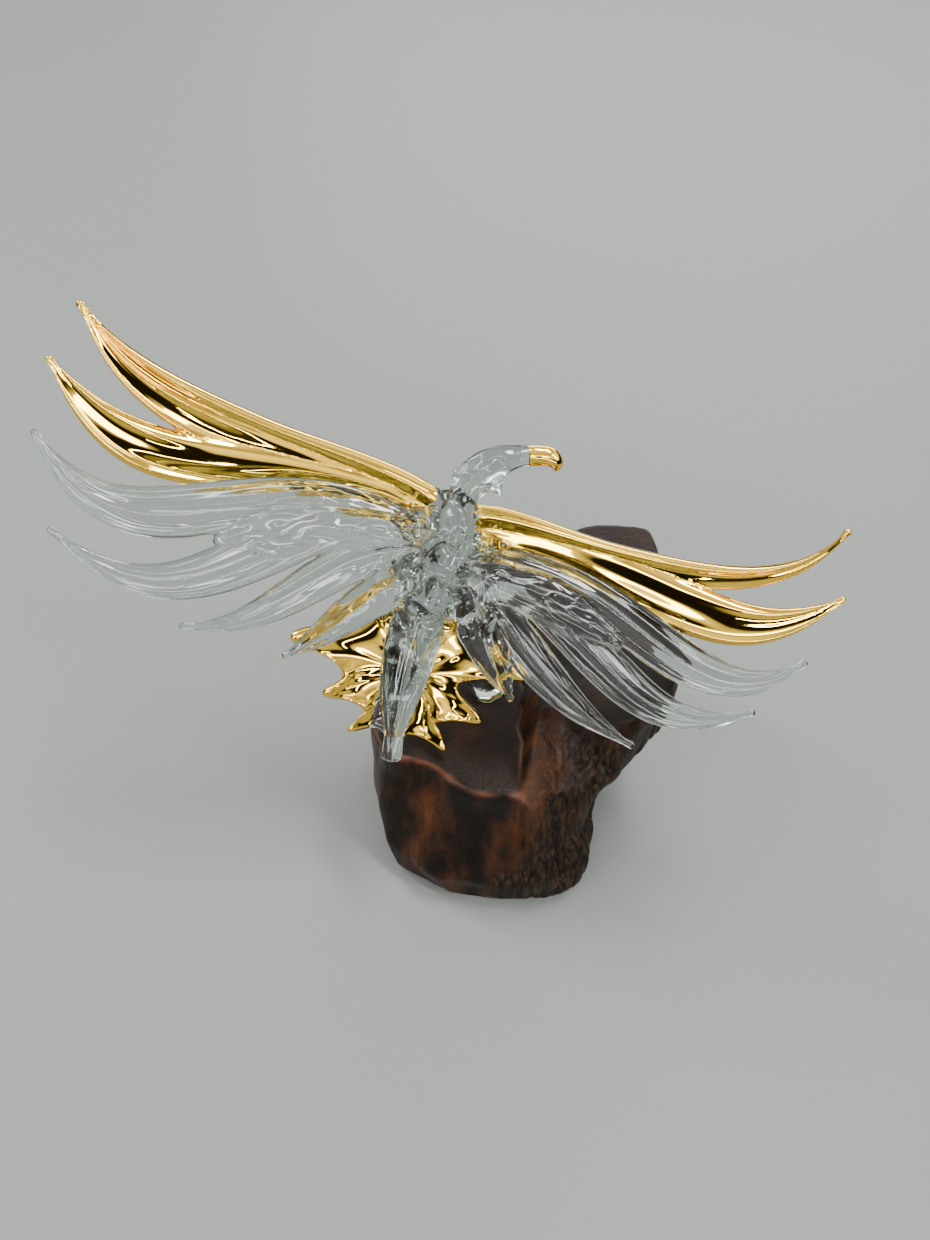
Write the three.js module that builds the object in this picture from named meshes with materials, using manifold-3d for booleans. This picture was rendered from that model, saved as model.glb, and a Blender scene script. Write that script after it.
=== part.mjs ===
// Lampworked glass eagle with gilded wings, landing on a block of varnished driftwood.
// Millimetres, +Z up. The origin is the middle of the wood's underside.
import * as THREE from 'three';
import { mergeVertices } from 'three/addons/utils/BufferGeometryUtils.js';
import Module from 'manifold-3d';

// Driving dimensions of the glass figure
const WINGSPAN = 250;
const LEAN = 50;
const TURN = -15;
const CLEAR_THICKNESS = 4.4;
const GILT_THICKNESS = 6.4;
const TAIL_THICKNESS = 8.5;
const FAN_THICKNESS = 3.6;
const TIP_RADIUS = 0.9;
const FOOT_RADIUS = 6;

// Driving dimensions of the wooden base
const BASE_WIDTH = 114;
const BASE_DEPTH = 126;
const PLATEAU_HEIGHT = 62;
const CRAG_RISE = 21;
const BARK_RELIEF = 1.3;
const EDGE_ROUND = 2;

// The figure stands this far clear of the wood, as two touching pieces do
const SEAT_GAP = 0.3;

// How finely the faceted surfaces are cut
const FEATHER_STATIONS = 12;
const BODY_SIDES = 14;
const FAN_SIDES = 68;
const WOOD_SIDES = 45;

// How roundly a curve runs through the corners of an outline
const WOOD_TENSION = 0.4;
const FAN_TENSION = 0.65;

const wasm = await Module();
wasm.setup();

// Every point of the figure is a share of the wingspan, in hundredths: across the body,
// along it towards the head, and out of its back.
const SHARE = WINGSPAN / 100;

// The body hangs above the plateau, over the front left of the base
const BODY_PLACE = new THREE.Vector3(-0.28 * BASE_WIDTH, -0.035 * BASE_DEPTH, PLATEAU_HEIGHT + 21.2 * SHARE);
const FOOT_SHARE = [-0.11, -0.05];

const figureTurn = new THREE.Matrix4()
  .makeTranslation(BODY_PLACE.x, BODY_PLACE.y, BODY_PLACE.z)
  .multiply(new THREE.Matrix4().makeRotationX(THREE.MathUtils.degToRad(LEAN)))
  .multiply(new THREE.Matrix4().makeRotationZ(THREE.MathUtils.degToRad(TURN)));

// Closed solid from rings of points, each ring with the same number of points
function loft(rings) {
  const count = rings[0].length;
  const points = rings.flat();
  const faces = [];
  for (let ring = 0; ring < rings.length - 1; ring++) {
    for (let side = 0; side < count; side++) {
      const next = (side + 1) % count;
      const [a, b] = [ring * count + side, ring * count + next];
      const [c, d] = [a + count, b + count];
      faces.push(a, b, d, a, d, c);
    }
  }
  for (const [ring, flip] of [[0, true], [rings.length - 1, false]]) {
    const centre = points.length;
    const middle = new THREE.Vector3();
    rings[ring].forEach((point) => middle.addScaledVector(point, 1 / count));
    points.push(middle);
    for (let side = 0; side < count; side++) {
      const [a, b] = [ring * count + side, ring * count + (side + 1) % count];
      faces.push(...(flip ? [b, a, centre] : [a, b, centre]));
    }
  }
  return closedSolid(points, faces);
}

// Triangles that turn inward are turned round, then the mesh becomes a solid
function closedSolid(points, faces) {
  let volume = 0;
  for (let i = 0; i < faces.length; i += 3) {
    const [a, b, c] = [points[faces[i]], points[faces[i + 1]], points[faces[i + 2]]];
    volume += a.dot(b.clone().cross(c));
  }
  const order = volume > 0 ? faces : faces.slice().reverse();
  const vertProperties = new Float32Array(points.flatMap((point) => [point.x, point.y, point.z]));
  return new wasm.Manifold(new wasm.Mesh({ numProp: 3, vertProperties, triVerts: new Uint32Array(order) }));
}

const join = (solids) => solids.reduce((whole, solid) => whole.add(solid));

// Width along a feather: from its root to its widest place, then down to a bead
function featherWidth(share, root, wide, peak, taper) {
  if (share < peak) {
    return root + (wide - root) * Math.sin(0.5 * Math.PI * share / peak) ** 2;
  }
  return wide * Math.max(0, Math.cos(0.5 * Math.PI * (share - peak) / (1 - peak))) ** taper;
}

// Cross sections, from leading edge to trailing edge and back underneath.
// The clear feathers have a rolled rim on both sides and a low ridge between.
const CLEAR_SECTION = [
  [-1, 0], [-0.86, 0.8], [-0.5, 0.42], [-0.05, 0.75], [0.45, 0.36], [0.86, 0.7], [1, 0], [0.5, -0.5],
  [-0.5, -0.5],
];
// A gilded wing has a stout rod along its leading edge, and a hollow palm with a rolled trailing rim behind.
const ROD_SECTION = [
  [-1, 0], [-0.8, 0.65], [-0.4, 1.05], [0, 0.55], [0.4, 0.25], [0.8, 0.2], [1, 0], [0.5, -0.5],
  [-0.5, -0.6],
];
const PALM_SECTION = [
  [-1, 0], [-0.8, 0.45], [-0.5, 0.65], [-0.1, 0.4], [0.3, 0.38], [0.68, 0.85], [1, 0], [0.5, -0.5],
  [-0.5, -0.5],
];
// The tail and the tertials are folded like a roof.
const ROOF_SECTION = [
  [-1, 0], [-0.55, 0.45], [-0.12, 1.1], [0.12, 1.1], [0.55, 0.45], [1, 0], [0.5, -0.3], [-0.5, -0.3],
];

// The wings rise away from the body: how far out of the back a point lies
const giltLift = (across) => -3.2 + 0.14 * Math.abs(across) + 0.00175 * across ** 2;
const clearLift = (across) => 1.6 + 0.12 * Math.abs(across) + 0.00125 * across ** 2;
const bodyLift = () => 2.4;

// One feather, drawn along a curve of four points on its wing's surface
function feather({ path, root, wide, peak, lift, section, thickness, taper = 0.85, blunt = 0 }) {
  const flat = path.map(([across, along]) => new THREE.Vector3(across, along, 0));
  const curve = new THREE.CubicBezierCurve3(...flat);
  const rings = [];
  for (let station = 0; station < FEATHER_STATIONS; station++) {
    const share = (station / (FEATHER_STATIONS - 1)) ** 0.9;
    const at = curve.getPoint(share);
    const ahead = curve.getTangent(share);
    const slope = (lift(at.x + 1) - lift(at.x - 1)) / 2;
    const out = new THREE.Vector3(-slope, 0, 1).normalize();
    const along = new THREE.Vector3(ahead.x, ahead.y, ahead.x * slope).normalize();
    const wayOut = path[3][0] < path[0][0] ? 1 : -1;
    const sideways = out.clone().cross(along).multiplyScalar(wayOut);
    at.z = lift(at.x);
    const widest = featherWidth(share, root, wide, peak, taper) * SHARE;
    const halfWidth = Math.max(widest, TIP_RADIUS + blunt * SHARE);
    const halfThick = Math.max(0.5 * thickness * Math.min(1, 1.6 * (1.05 - share) ** 0.5), TIP_RADIUS);
    rings.push(section.map(([x, y]) => at.clone().multiplyScalar(SHARE)
      .addScaledVector(sideways, x * halfWidth)
      .addScaledVector(out, y * halfThick)
      .applyMatrix4(figureTurn)));
  }
  return loft(rings);
}

// Gilded wings: a long leading rod, and a broad palm that ends in the second finger
const GILT_FEATHERS = [
  { path: [[-2, 10], [-18.8, 16], [-37.6, 12.4], [-50, 24.4]],
    root: 3.2, wide: 2, peak: 0.5, section: ROD_SECTION },
  { path: [[-3, 8.4], [-18.4, 15.4], [-40.4, 8.4], [-49.6, 24.4]],
    root: 2.4, wide: 2.6, peak: 0.4, section: PALM_SECTION },
  { path: [[-6, 10], [-31.6, 13], [-38.8, 2.4], [-52, 17.2]],
    root: 2.8, wide: 3.2, peak: 0.6, section: PALM_SECTION },
  { path: [[2.4, 9.4], [16.4, 13], [42, 6], [48.4, 22.4]],
    root: 3.4, wide: 2, peak: 0.4, section: ROD_SECTION },
  { path: [[4, 8.8], [30.4, 11.6], [38.4, 0], [50.4, 14]],
    root: 3.1, wide: 3.3, peak: 0.52, section: PALM_SECTION },
];

// Clear wings: three sickle feathers a side, growing out of a scored web
const CLEAR_FEATHERS = [
  { path: [[-4, 7.6], [-25.2, 14.8], [-36.8, -9.6], [-51.2, 8.4]], root: 2, wide: 3.4, peak: 0.55 },
  { path: [[-3, 6.8], [-23.2, 10.4], [-26.4, -16.4], [-47.6, -2.8]], root: 2, wide: 3.3, peak: 0.42 },
  { path: [[-3, 5.6], [-15.6, 2.8], [-17.6, -10], [-30.4, -11.6]], root: 2, wide: 2.8, peak: 0.28 },
  { path: [[-3, 7], [-14, 8.4], [-22, 4], [-28.6, 0]], root: 2.8, wide: 4.4, peak: 0.6 },
  { path: [[3.4, 6], [24.4, 11.2], [36.4, -9.2], [47.6, 5.2]], root: 1.8, wide: 3, peak: 0.5 },
  { path: [[3.4, 5], [22.8, 4], [29.2, -13.6], [43.6, -2.8]], root: 1.8, wide: 3, peak: 0.42 },
  { path: [[3.4, 4], [16.4, -5.2], [18.8, -9.2], [30.8, -12]], root: 2.4, wide: 2.8, peak: 0.3 },
  { path: [[3.4, 5], [12, 5.2], [20, 3.6], [25.6, 0.4]], root: 2, wide: 3.8, peak: 0.5 },
];

// Tertials beside the tail, and the long chisel-ended tail blade
const ROOF_FEATHERS = [
  { path: [[-1.6, 3.4], [-8.4, -2], [-11.6, -8.4], [-17.2, -13.2]], root: 2.9, wide: 2.9, peak: 0.2 },
  { path: [[4, 3.4], [7.2, -2.8], [10.8, -7.2], [14, -11.2]], root: 3.2, wide: 3.4, peak: 0.2 },
  { path: [[-0.2, 2], [-1.4, -7], [-1, -14], [0.4, -23.6]], root: 2.6, wide: 3.7, peak: 0.3, blunt: 1 },
];

// Gilded tail fan: one ruffled sheet, with a rounded ridge from the belly out to each of its points
const FAN_ROOT = new THREE.Vector2(0, -2);
const FAN_MIDDLE = new THREE.Vector3(0, -12, 0);
const FAN_TIPS = [
  [15.8, -8.6], [11.4, -16.4], [7.6, -21.8], [0, -22.8], [-6.6, -22.5], [-11.2, -18.2], [-17.3, -11.2],
];
const FAN_NOTCHES = [
  [8.6, -6.2], [6.7, -11.9], [5.1, -18.4], [2.2, -21.4], [-2.6, -21.6], [-5.2, -18.9], [-9.4, -14.3],
];
const FAN_SHOULDERS = [[-9.6, -6.4], [-2.4, -1], [2.4, -1]];
const FAN_DEPTH = -4;
const FAN_RUFFLE = 0.85;
const FAN_RIDGE = 2.1;

// How far out of the back the middle of the sheet lies at a place
function fanSurface(x, y) {
  const place = new THREE.Vector2(x, y).sub(FAN_ROOT);
  let between = 1;
  for (const tip of FAN_TIPS) {
    const way = new THREE.Vector2(...tip).sub(FAN_ROOT).normalize();
    const aside = place.distanceTo(way.multiplyScalar(Math.max(0, place.dot(way))));
    between *= 1 - Math.exp(-((aside / FAN_RIDGE) ** 2));
  }
  const ruffle = FAN_RUFFLE * (1 - 2 * between) * Math.min(1, place.length() / 7);
  return FAN_DEPTH + 0.02 * Math.abs(x) ** 1.5 + ruffle;
}

// The fan as one skin: from its middle over the upper side, round the rim and back below
function tailFan() {
  const edge = FAN_NOTCHES.flatMap((notch, index) => [notch, FAN_TIPS[index]]).concat(FAN_SHOULDERS);
  const corners = edge.map(([x, y]) => new THREE.Vector3(x, y, 0));
  const curve = new THREE.CatmullRomCurve3(corners, true, 'catmullrom', FAN_TENSION);
  const upper = [[0.06, 0.6], [0.4, 0.6], [0.68, 0.65], [0.93, 1]];
  const lower = upper.map(([reach, rise]) => [reach, -rise]).reverse();
  return loft([...upper, [1, 0], ...lower].map(([reach, rise]) => (
    Array.from({ length: FAN_SIDES }, (_, side) => {
      const at = FAN_MIDDLE.clone().lerp(curve.getPoint(side / FAN_SIDES), reach);
      at.z = fanSurface(at.x, at.y) + 0.5 * FAN_THICKNESS * rise / SHARE;
      return at.multiplyScalar(SHARE).applyMatrix4(figureTurn);
    })
  )));
}

// Round body, neck, turned head and hooked beak: across, along, out, half width
const BODY_LINE = [
  [0, -10, 1.2, 0.6], [0, -5.5, 1.2, 1.8], [0, -1.5, 0.8, 3.1], [0.3, 2, 0.4, 4.1],
  [0.8, 5.5, 0.4, 4.2], [0.9, 9.2, 0.6, 2.9], [0.6, 12.2, 1, 1.9], [0.8, 14.6, 1.4, 2.2],
  [2.2, 17.3, 1.7, 2.8], [4.4, 19.3, 1.8, 2.4], [6.8, 20.5, 1.7, 1.6], [8.8, 21.2, 1.7, 1.3],
  [10.2, 21.3, 1.7, 1.3], [11.2, 20.7, 1.7, 1], [11.4, 19.8, 1.7, 0.5],
];
const BREAST_LINE = [
  [0, -6, -3.8, 1.5], [0.1, -3, -3.2, 2.4], [0.2, 0.5, -2.4, 3.2], [0.4, 4.5, -2.2, 3.8],
  [0.5, 8.5, -2.4, 3.6], [0.2, 11.5, -2, 3.3], [0.6, 14, -0.6, 1.8],
];
const FLATNESS = 0.9;

// A round, slightly flattened tube through points that each give their own half width
function roundedTube(line) {
  const curve = new THREE.CatmullRomCurve3(line.map(([x, y, z]) => new THREE.Vector3(x, y, z)));
  const rings = line.map(([, , , halfWidth], index) => {
    const share = index / (line.length - 1);
    const at = curve.getPoint(share);
    const along = curve.getTangent(share);
    const across = new THREE.Vector3(0, 0, 1).cross(along).normalize();
    const out = along.clone().cross(across).normalize();
    return Array.from({ length: BODY_SIDES }, (_, side) => {
      const angle = 2 * Math.PI * side / BODY_SIDES;
      return at.clone()
        .addScaledVector(across, halfWidth * Math.cos(angle))
        .addScaledVector(out, halfWidth * FLATNESS * Math.sin(angle))
        .multiplyScalar(SHARE)
        .applyMatrix4(figureTurn);
    });
  });
  return loft(rings);
}

// Drawn-out tufts: hackles behind the head, one at the throat, and the breast
const TUFTS = [
  [[1.8, 17, 1.8, 1.3], [0.2, 16.8, 2.2, 0.9], [-1.6, 15.9, 2.6, 0.3]],
  [[1.4, 15, 1.8, 1.2], [0.2, 14.2, 2.2, 0.8], [-1.1, 13, 2.6, 0.3]],
  [[3.2, 17.4, 1.8, 1.6], [4.2, 16.2, 2.2, 1.1], [5, 14.6, 2.4, 0.3]],
];

// Where the clear and the gilded wing fuse with the body
const SHOULDERS = [
  [[0, 7, -0.4, 3.2], [-3.6, 8.2, -0.5, 3], [-7.6, 9, -0.8, 1.8]],
  [[1, 6.6, -0.4, 3.2], [4, 7.2, -0.5, 2.8], [7.4, 7.8, -0.8, 1.6]],
];

// A clear foot runs from the belly down to a bead on the plateau
function foot() {
  const [across, deep] = FOOT_SHARE;
  const seat = new THREE.Vector3(across * BASE_WIDTH, deep * BASE_DEPTH, PLATEAU_HEIGHT + SEAT_GAP);
  const belly = new THREE.Vector3(0.4, 1, -1).multiplyScalar(SHARE).applyMatrix4(figureTurn);
  const profile = [[0, 1], [0.07, 1.05], [0.15, 0.75], [0.35, 0.5], [0.7, 0.6], [1, 0.8]];
  const rings = profile.map(([share, thick]) => {
    const at = seat.clone().lerp(belly, share);
    at.z = seat.z + (belly.z - seat.z) * share;
    return Array.from({ length: BODY_SIDES }, (_, side) => {
      const angle = 2 * Math.PI * side / BODY_SIDES;
      const reach = FOOT_RADIUS * thick;
      return new THREE.Vector3(at.x + reach * Math.cos(angle), at.y + reach * Math.sin(angle), at.z);
    });
  });
  return loft(rings);
}

// Everything that would reach below the seat is ground flat there
function belowSeat() {
  const reach = WINGSPAN;
  const corners = [[-reach, -reach], [reach, -reach], [reach, reach], [-reach, reach]];
  const levels = [-reach, PLATEAU_HEIGHT + SEAT_GAP];
  return loft(levels.map((z) => corners.map(([x, y]) => new THREE.Vector3(x, y, z))));
}

function glassEagle() {
  const gilt = GILT_FEATHERS.map((one) => feather({ ...one, lift: giltLift, thickness: GILT_THICKNESS }));
  const clear = CLEAR_FEATHERS.map((one) => feather({
    ...one, lift: clearLift, section: CLEAR_SECTION, thickness: CLEAR_THICKNESS,
  }));
  const roofs = ROOF_FEATHERS.map((one) => feather({
    ...one, lift: bodyLift, section: ROOF_SECTION, thickness: TAIL_THICKNESS,
  }));
  const trunk = [BODY_LINE, BREAST_LINE, ...TUFTS, ...SHOULDERS].map(roundedTube);
  const whole = join([...trunk, ...gilt, ...clear, ...roofs, tailFan(), foot()]);
  return whole.subtract(belowSeat());
}

// The wood: outlines in shares of half the width and depth, at heights in millimetres
const BLOCK_LEVELS = [
  { rise: 0, inset: 1.5, outline: 'foot' }, { rise: 0.05, inset: 0, outline: 'foot' },
  { rise: 0.25, inset: -1, outline: 'foot' }, { rise: 0.5, inset: 0, outline: 'waist' },
  { rise: 0.8, inset: 0, outline: 'top' }, { rise: 0.95, inset: 0.4, outline: 'top' },
];
const OUTLINES = {
  foot: [
    [-0.97, -0.34], [-0.86, -0.7], [-0.6, -0.9], [-0.3, -0.985], [0.1, -0.985], [0.45, -0.78],
    [0.5, -0.3], [0.55, 0.3], [0.4, 0.75], [0, 0.85], [-0.45, 0.72], [-0.8, 0.4], [-0.96, 0],
  ],
  waist: [
    [-0.97, -0.36], [-0.9, -0.62], [-0.62, -0.8], [-0.3, -0.9], [0, -0.9], [0.35, -0.78], [0.42, -0.3],
    [0.5, 0.3], [0.36, 0.72], [0, 0.8], [-0.42, 0.68], [-0.78, 0.4], [-0.95, 0],
  ],
  top: [
    [-0.97, -0.38], [-0.88, -0.54], [-0.58, -0.64], [-0.32, -0.81], [0.02, -0.81], [0.3, -0.6],
    [0.36, -0.2], [0.4, 0.3], [0.3, 0.66], [0, 0.72], [-0.4, 0.62], [-0.76, 0.36], [-0.94, 0],
  ],
  cragFoot: [
    [0.02, -0.92], [0.28, -0.97], [0.43, -0.86], [0.42, -0.66], [0.58, -0.34], [0.8, 0.12],
    [0.86, 0.6], [0.66, 0.88], [0.28, 0.95], [0.06, 0.72], [0, 0.1],
  ],
  cragWaist: [
    [0, -0.9], [0.26, -0.88], [0.4, -0.74], [0.46, -0.58], [0.68, -0.3], [0.88, 0.15], [0.96, 0.62],
    [0.74, 0.93], [0.32, 0.98], [0.1, 0.76], [0, 0.1],
  ],
  cragShoulder: [
    [-0.02, -0.82], [0.24, -0.8], [0.46, -0.76], [0.68, -0.58], [0.93, -0.28], [1, 0.2], [1, 0.68],
    [0.85, 0.97], [0.42, 1], [0.14, 0.78], [0.02, 0],
  ],
  cragTop: [
    [0.04, -0.5], [0.24, -0.46], [0.5, -0.6], [0.7, -0.56], [0.95, -0.3], [1, 0.2], [1, 0.74],
    [0.93, 0.96], [0.5, 0.99], [0.2, 0.76], [0.06, -0.04],
  ],
};
const CRAG_LEVELS = [
  { rise: 0, inset: 1.5, outline: 'cragFoot' }, { rise: 0.05, inset: 0, outline: 'cragFoot' },
  { rise: 0.2, inset: -1, outline: 'cragFoot' }, { rise: 0.42, inset: 0, outline: 'cragWaist' },
  { rise: 0.72, inset: 0, outline: 'cragShoulder' }, { rise: 0.94, inset: 0, outline: 'cragTop' },
];

// A ring of the wood, with the bark's upright ridges worked into it
function woodRing(outline, height, inset, relief) {
  const size = new THREE.Vector3(BASE_WIDTH / 2, BASE_DEPTH / 2, 1);
  const corners = OUTLINES[outline].map(([x, y]) => new THREE.Vector3(x, y, height).multiply(size));
  const curve = new THREE.CatmullRomCurve3(corners, true, 'catmullrom', WOOD_TENSION);
  return Array.from({ length: WOOD_SIDES }, (_, side) => {
    const at = curve.getPoint(side / WOOD_SIDES);
    const ahead = curve.getTangent(side / WOOD_SIDES);
    const inward = new THREE.Vector3(-ahead.y, ahead.x, 0).normalize();
    const ridge = relief * Math.sin(side * 2.4 + 0.02 * height) * Math.cos(side * 0.9);
    return at.addScaledVector(inward, inset + ridge);
  });
}

function woodBlock(levels, height, relief) {
  const rings = levels.map(({ rise, inset, outline }) => (
    woodRing(outline, rise * height, inset, rise > 0 ? relief : 0)
  ));
  const last = levels[levels.length - 1];
  rings.push(woodRing(last.outline, height, last.inset + EDGE_ROUND, 0));
  return loft(rings);
}

function woodBase() {
  const block = woodBlock(BLOCK_LEVELS, PLATEAU_HEIGHT, 0.3 * BARK_RELIEF);
  const crag = woodBlock(CRAG_LEVELS, PLATEAU_HEIGHT + CRAG_RISE, BARK_RELIEF);
  return block.add(crag);
}

function namedMesh(name, solid, material) {
  const { vertProperties, triVerts } = solid.getMesh();
  const geometry = new THREE.BufferGeometry();
  geometry.setAttribute('position', new THREE.BufferAttribute(vertProperties, 3));
  geometry.setIndex(new THREE.BufferAttribute(triVerts, 1));
  const mesh = new THREE.Mesh(mergeVertices(geometry, 1e-4), material);
  mesh.name = name;
  return mesh;
}

const glass = new THREE.MeshStandardMaterial({
  color: '#dfe8e2', roughness: 0.04, metalness: 0, transparent: true, opacity: 0.35,
});
const wood = new THREE.MeshStandardMaterial({ color: '#3b1e14', roughness: 0.4, metalness: 0 });

const part = new THREE.Group();
part.add(namedMesh('glass_eagle', glassEagle(), glass));
part.add(namedMesh('wood_base', woodBase(), wood));

export default part;
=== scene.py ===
import math

import bmesh
import bpy
import numpy as np
from mathutils import Euler, Matrix, Vector, noise


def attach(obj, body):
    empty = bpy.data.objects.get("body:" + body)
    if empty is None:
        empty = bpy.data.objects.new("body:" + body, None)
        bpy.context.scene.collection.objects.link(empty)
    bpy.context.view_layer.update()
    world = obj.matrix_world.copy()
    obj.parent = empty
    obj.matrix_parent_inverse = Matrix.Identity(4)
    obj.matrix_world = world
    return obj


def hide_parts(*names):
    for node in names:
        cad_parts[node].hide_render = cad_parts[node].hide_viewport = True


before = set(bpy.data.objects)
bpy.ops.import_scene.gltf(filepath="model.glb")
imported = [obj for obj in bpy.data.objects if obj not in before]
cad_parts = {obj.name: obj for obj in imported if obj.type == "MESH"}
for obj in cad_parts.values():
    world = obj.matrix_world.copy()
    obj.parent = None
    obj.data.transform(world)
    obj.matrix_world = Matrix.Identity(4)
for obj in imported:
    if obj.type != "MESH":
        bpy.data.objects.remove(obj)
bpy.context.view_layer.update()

# The noise vectors start from this seed, so every run gives the same meshes
noise.seed_set(3)

# Blender works in metres, and the sizes below are in millimetres
MM = 0.001

# Driving dimensions of the glass figure
WINGSPAN = 250
LEAN = 50
TURN = -15
CLEAR_THICKNESS = 4.4
WEB_THICKNESS = 7
GILT_THICKNESS = 6.4
TAIL_THICKNESS = 8.5
FAN_THICKNESS = 3.6
TIP_RADIUS = 0.9
BEAD_RADIUS = 1.25
FOOT_RADIUS = 6

# Where two skins meet, the flame has melted the seam into a small fillet: the sharpest inner corner
# that stays, how many points to each side are evened out, and how often
SEAM_ANGLE = math.radians(24)
SEAM_REACH = 2
SEAM_ROUNDS = 12

# Slivers of the joined skin narrower than this are closed up, and then gaps at their rims
SLIVER = 0.02
SLIVER_RIM = 0.1

# The swirled glass in the middle of the back: where it is, how far it reaches and how deep it is
SWIRL_MIDDLE = (0.5, 3, 1)
SWIRL_REACH = 7
SWIRL_DEPTH = 2.4

# Driving dimensions of the wooden base
BASE_WIDTH = 114
BASE_DEPTH = 126
PLATEAU_HEIGHT = 62
CRAG_RISE = 21
EDGE_ROUND = 2
SEAT_GAP = 0.3
FACET_ANGLE = math.radians(33)
FACET_RELIEF = 2.2
FISSURE_DEPTH = 2
PLATE_RELIEF = 1.1
LUMP_RELIEF = 1.1

# Sizes of the patterns in the finishes. Real tool lines in glass and pores in wood are finer than the
# render shows, so both are drawn as coarse as they need to show.
LINE_LENGTH = 16
GLASS_LINE = 8
GLASS_LINE_DEPTH = 0.08
GOLD_LINE = 14
GOLD_LINE_DEPTH = 0.12
WOOD_STREAK = 15
STREAK_STRETCH = 0.22
WOOD_GRAIN = 1.3
GRAIN_STRETCH = 0.07
WOOD_GRAIN_DEPTH = 0.5

# How finely the surfaces are cut
FEATHER_STATIONS = 50
BEAD_STATIONS = 6
SECTION_TOP = 46
SECTION_BOTTOM = 24
BODY_SIDES = 48
FAN_SIDES = 238
BODY_STATIONS = 90
BREAST_STATIONS = 40
TUFT_STATIONS = 14
FOOT_STATIONS = 26
WOOD_SIDES = 150
WOOD_LEVELS = 50
WOOD_TENSION = 0.4
WOOD_VOXEL = 1.05

# Every point of the figure is a share of the wingspan, in hundredths
SHARE = WINGSPAN / 100
BODY_PLACE = Vector((-0.28 * BASE_WIDTH, -0.035 * BASE_DEPTH, PLATEAU_HEIGHT + 21.2 * SHARE))
FOOT_SHARE = (-0.11, -0.05)
FIGURE_TURN = np.array(
    Matrix.Translation(BODY_PLACE)
    @ Matrix.Rotation(math.radians(LEAN), 4, "X")
    @ Matrix.Rotation(math.radians(TURN), 4, "Z")
)

GLASS = 0
GOLD = 1


def linear(code):
    """An sRGB hex colour as the linear colour that a shader takes."""
    channels = [int(code[i:i + 2], 16) / 255 for i in (1, 3, 5)]
    return (*[c / 12.92 if c <= 0.04045 else ((c + 0.055) / 1.055) ** 2.4 for c in channels], 1)


def add_node(tree, kind, settings=None, links=None):
    """A node with its settings, its input values and what feeds its inputs."""
    made = tree.nodes.new(kind)
    for key, value in (settings or {}).items():
        if isinstance(key, str) and hasattr(made, key):
            setattr(made, key, value)
        else:
            made.inputs[key].default_value = value
    for key, source in (links or {}).items():
        tree.links.new(source, made.inputs[key])
    return made


def ramp(node, stops):
    """Set the stops of a colour ramp."""
    elements = node.color_ramp.elements
    for index, (position, code) in enumerate(stops):
        stop = elements[index] if index < 2 else elements.new(position)
        stop.position = position
        stop.color = linear(code)


def new_material(name):
    """A material with only its output node."""
    material = bpy.data.materials.new(name)
    material.use_nodes = True
    material.node_tree.nodes.clear()
    return material, material.node_tree


def finish_material(tree, shader, inside=None):
    """Send a shader to the surface, and one to the solid inside it if there is one."""
    links = {"Surface": shader.outputs[0]}
    if inside:
        links["Volume"] = inside.outputs[0]
    add_node(tree, "ShaderNodeOutputMaterial", links=links)


def drawn_relief(tree, across, depth):
    """Fine lines along the way the glass was drawn, as a bump."""
    flow = add_node(tree, "ShaderNodeAttribute", {"attribute_name": "flow"})
    scale = (1 / (LINE_LENGTH * MM), 1 / (across * MM), 1 / (across * MM))
    drawn = add_node(tree, "ShaderNodeMapping", {"Scale": scale}, {"Vector": flow.outputs["Vector"]})
    lines = add_node(tree, "ShaderNodeTexNoise", {"Scale": 1.0, "Detail": 1.0, "Distortion": 0.3}, {
        "Vector": drawn.outputs[0],
    })
    return add_node(tree, "ShaderNodeBump", {"Strength": 1.0, "Distance": depth * MM}, {
        "Height": lines.outputs[0],
    })


def borosilicate_glass():
    """Clear flame-worked glass: smooth from the fire, faintly lined, and greyer where it is thick."""
    material, tree = new_material("clear_flameworked_glass")
    bump = drawn_relief(tree, GLASS_LINE, GLASS_LINE_DEPTH)
    shader = add_node(tree, "ShaderNodeBsdfPrincipled", {
        "Base Color": linear("#dfe6e1"), "Roughness": 0.0, "IOR": 1.47, "Transmission Weight": 1.0,
    }, {"Normal": bump.outputs[0]})
    tint = add_node(tree, "ShaderNodeVolumeAbsorption", {"Color": linear("#ccd3cf"), "Density": 50.0})
    finish_material(tree, shader, tint)
    return material


def fired_gold():
    """Bright gold fired onto the glass: a mirror that keeps the hand-made waviness under it."""
    material, tree = new_material("fired_gold_lustre")
    bump = drawn_relief(tree, GOLD_LINE, GOLD_LINE_DEPTH)
    shader = add_node(tree, "ShaderNodeBsdfPrincipled", {
        "Base Color": linear("#fbcb4c"), "Metallic": 1.0, "Roughness": 0.04,
    }, {"Normal": bump.outputs[0]})
    finish_material(tree, shader)
    return material


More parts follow.
